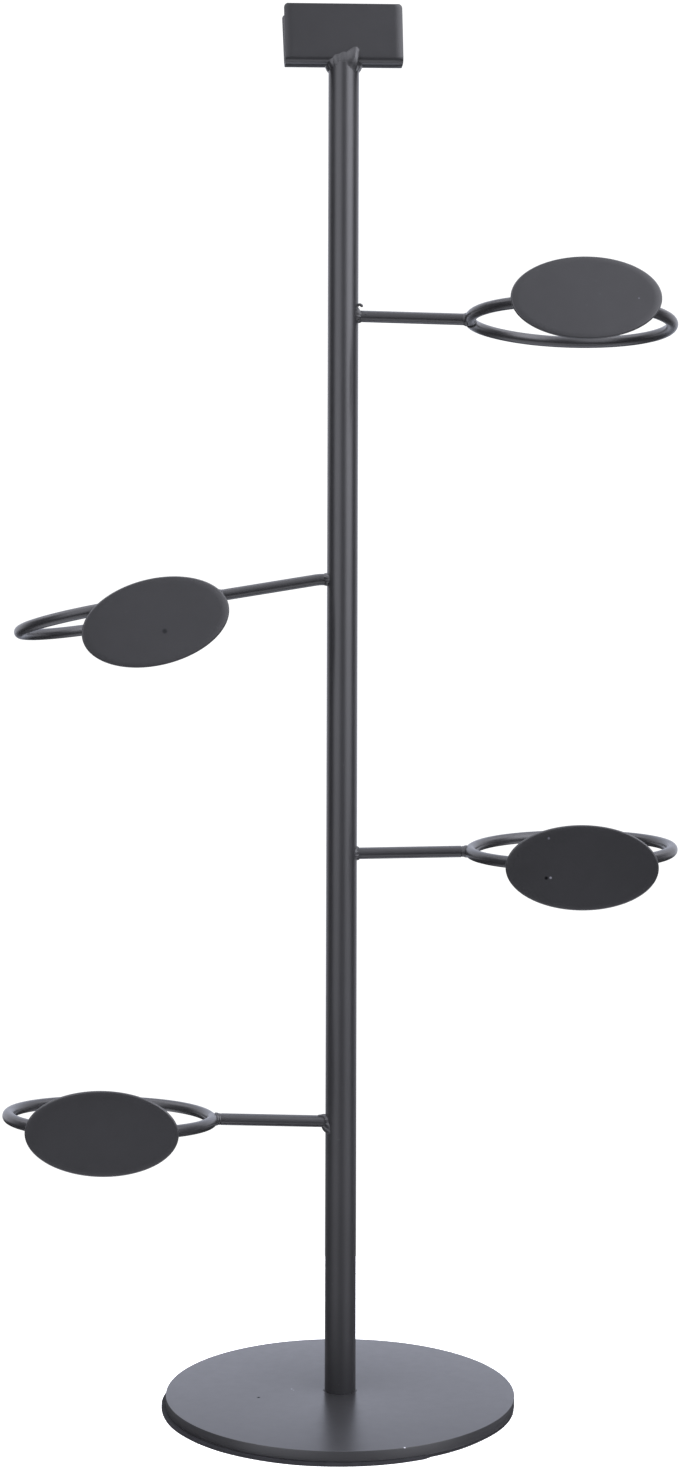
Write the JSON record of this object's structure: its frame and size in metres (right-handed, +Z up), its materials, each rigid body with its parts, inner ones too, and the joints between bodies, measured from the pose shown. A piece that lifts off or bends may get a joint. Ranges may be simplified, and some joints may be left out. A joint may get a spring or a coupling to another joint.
{
  "type": "mug tree",
  "caption": "Tall welded steel tree on a round base, with ring-ended arms on alternating sides, an oval plate on the front of each ring and an open card channel on top.",
  "frame": {"origin": "on the table, under the middle of the base, on the axis of the upright tube", "axes": "+Z up along the upright; -Y is the front, the side that the oval plates face; +X is to the right seen from the front"},
  "size_m": [0.3446, 0.181, 0.7267],
  "materials": {
    "powder_coat": "satin black powder coat on steel",
    "coated_weld": "weld bead under the same black powder coat",
    "foam_pad": "matt black closed-cell foam rubber",
    "zinc_plate": "bright zinc plate"
  },
  "bodies": {
    "root": {"base_pad": "foam_pad", "base_plate": "powder_coat", "base_screw": "zinc_plate", "post_threaded_plug": "zinc_plate", "post_tube": "powder_coat", "sign_channel": "powder_coat", "sign_channel_weld": "coated_weld", "arm_rod_1": "powder_coat", "ring_1": "powder_coat", "label_plate_1": "powder_coat", "arm_root_weld_1": "coated_weld", "ring_weld_1": "coated_weld", "plate_weld_upper_1": "coated_weld", "plate_weld_lower_1": "coated_weld", "arm_rod_2": "powder_coat", "ring_2": "powder_coat", "label_plate_2": "powder_coat", "arm_root_weld_2": "coated_weld", "ring_weld_2": "coated_weld", "plate_weld_upper_2": "coated_weld", "plate_weld_lower_2": "coated_weld", "arm_rod_3": "powder_coat", "ring_3": "powder_coat", "label_plate_3": "powder_coat", "arm_root_weld_3": "coated_weld", "ring_weld_3": "coated_weld", "plate_weld_upper_3": "coated_weld", "plate_weld_lower_3": "coated_weld", "arm_rod_4": "powder_coat", "ring_4": "powder_coat", "label_plate_4": "powder_coat", "arm_root_weld_4": "coated_weld", "ring_weld_4": "coated_weld", "plate_weld_upper_4": "coated_weld", "plate_weld_lower_4": "coated_weld"}
  },
  "joints": []
}
